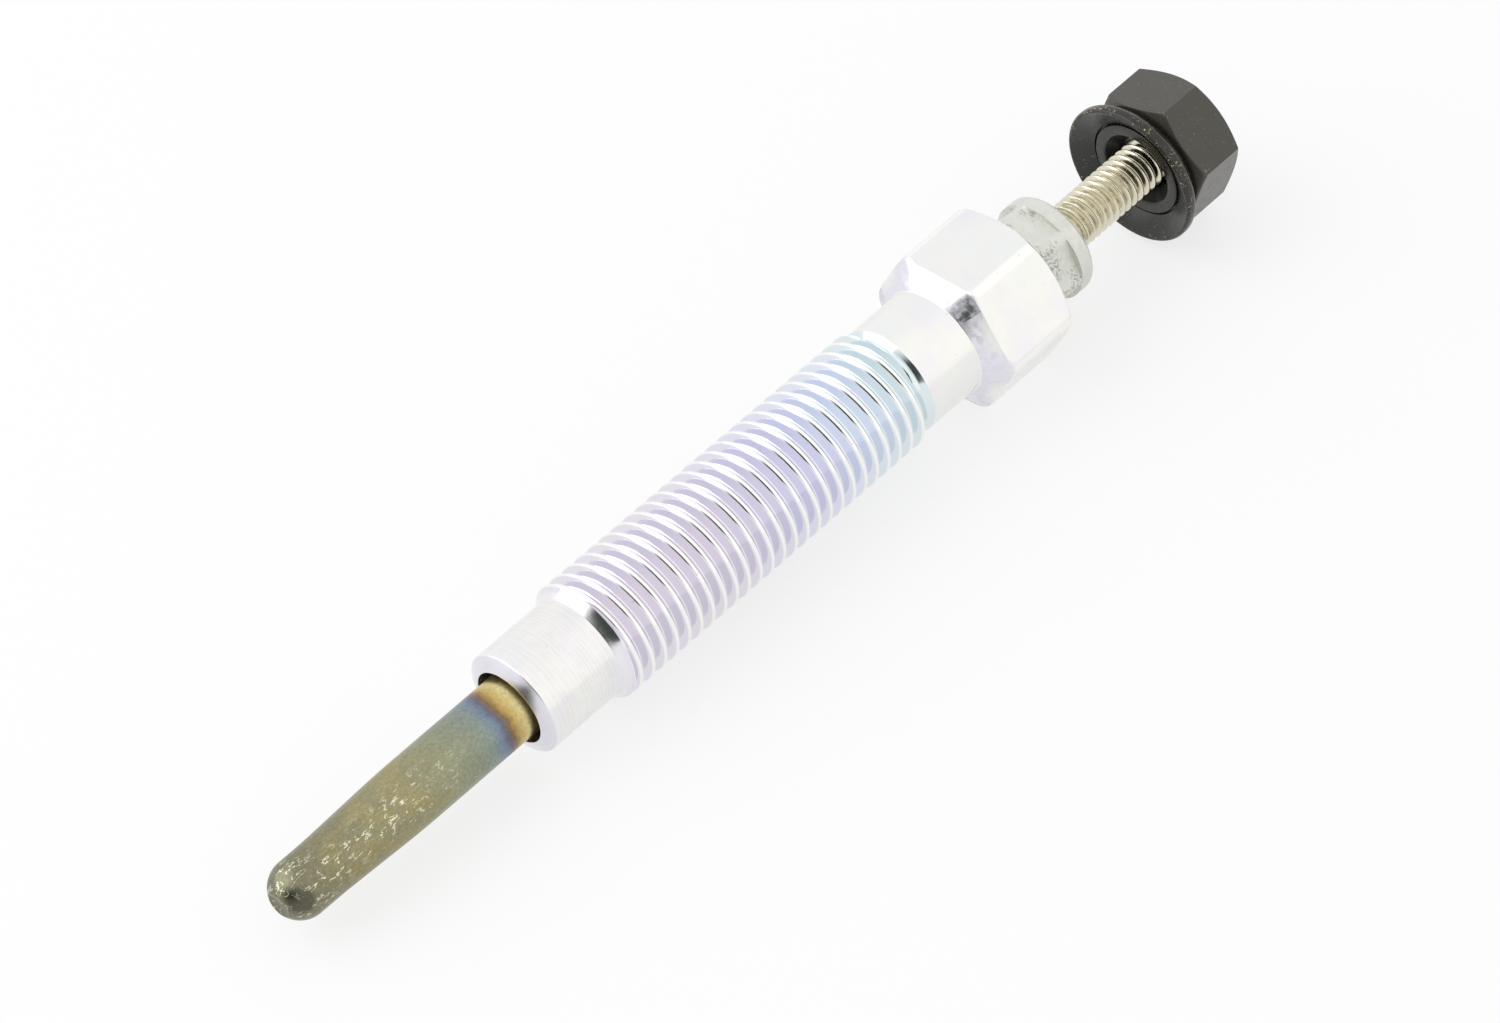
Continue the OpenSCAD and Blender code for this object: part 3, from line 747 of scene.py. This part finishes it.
def make_floor():
    """White table, which camera and polished metal see as white, with the plug's shadow on it."""
    bm = bmesh.new()
    bmesh.ops.create_grid(bm, x_segments=1, y_segments=1, size=TABLE_HALF)
    mesh = bpy.data.meshes.new("table")
    bm.to_mesh(mesh)
    bm.free()
    material = bpy.data.materials.new("table_white")
    material.use_nodes = True
    tree = material.node_tree
    tree.nodes.clear()
    paper = put(tree, "BsdfDiffuse", {"Color": TABLE_PAPER})
    glow = put(tree, "Emission", {"Color": WHITE, "Strength": 1.0})
    path = put(tree, "LightPath").outputs
    mirrored = sums(tree, "MAXIMUM", path["Is Glossy Ray"], path["Is Transmission Ray"])
    share = sums(tree, "MAXIMUM", times(tree, path["Is Camera Ray"], TABLE_GLOW),
                 times(tree, mirrored, MIRRORED_GLOW))
    table_look = put(tree, "MixShader", {0: share, 1: paper.outputs[0], 2: glow.outputs[0]})
    tree.links.new(table_look.outputs[0], put(tree, "OutputMaterial").inputs[0])
    mesh.materials.append(material)
    table = bpy.data.objects.new("table", mesh)
    bpy.context.scene.collection.objects.link(table)


def make_surroundings():
    """White tent, open and dark low down on the photographer's left as polished metal sees it."""
    world = bpy.data.worlds.new("tent")
    bpy.context.scene.world = world
    world.use_nodes = True
    tree = world.node_tree
    tree.nodes.clear()
    look = put(tree, "TexCoord").outputs["Generated"]
    parts = put(tree, "SeparateXYZ", {0: look}).outputs
    level = put(tree, "CombineXYZ", {0: parts[0], 1: parts[1]}).outputs[0]
    level = put(tree, "VectorMath", {0: level}, operation='NORMALIZE').outputs[0]
    middle = (-math.cos(OPENING_TURN), -math.sin(OPENING_TURN), 0)
    facing = put(tree, "VectorMath", {0: level, 1: middle}, operation='DOT_PRODUCT').outputs["Value"]
    aside = between(tree, facing, math.cos(OPENING_HALF + OPENING_EDGE),
                    math.cos(OPENING_HALF - OPENING_EDGE))
    low = between(tree, parts[2], math.sin(OPENING_TOP + OPENING_EDGE),
                  math.sin(OPENING_TOP - OPENING_EDGE))
    cloth = mix(tree, between(tree, parts[1], -0.5, 0.5), NEAR_CLOTH, FAR_CLOTH)
    seen = mix(tree, times(tree, aside, low), cloth, OPENING_COLOUR)
    path = put(tree, "LightPath").outputs
    mirrored = sums(tree, "MAXIMUM", path["Is Glossy Ray"], path["Is Transmission Ray"])
    light = mix(tree, mirrored, TENT_LIGHT, seen)
    light = mix(tree, path["Is Camera Ray"], light, WHITE)
    background = put(tree, "Background", {"Color": light, "Strength": 1.0})
    tree.links.new(background.outputs[0], put(tree, "OutputWorld").inputs[0])


def make_softbox():
    """Large softbox behind the plug, on its tube's side."""
    lamp = bpy.data.lights.new("softbox", 'AREA')
    lamp.shape = 'SQUARE'
    lamp.size = SOFTBOX_SIZE
    lamp.energy = SOFTBOX_POWER
    box = bpy.data.objects.new("softbox", lamp)
    box.location = SOFTBOX_PLACE
    box.rotation_euler = (-box.location).to_track_quat('-Z', 'Y').to_euler()
    bpy.context.scene.collection.objects.link(box)


def make_camera():
    """Camera where the photograph was taken from."""
    data = bpy.data.cameras.new("photo_camera")
    data.sensor_fit = 'HORIZONTAL'
    data.sensor_width = CAMERA_SENSOR
    data.lens = CAMERA_LENS
    camera = bpy.data.objects.new("photo_camera", data)
    camera.location = Vector(CAMERA_PLACE) * MM
    camera.rotation_euler = Euler([math.radians(part) for part in CAMERA_TURN])
    bpy.context.scene.collection.objects.link(camera)
    bpy.context.scene.camera = camera


make_camera()
make_surroundings()
make_softbox()
make_floor()
make_body()
make_tube()
make_rod()
make_collar()
make_washer()
make_nut()
dress_inner_nodes()
bpy.context.scene.view_settings.view_transform = 'Standard'
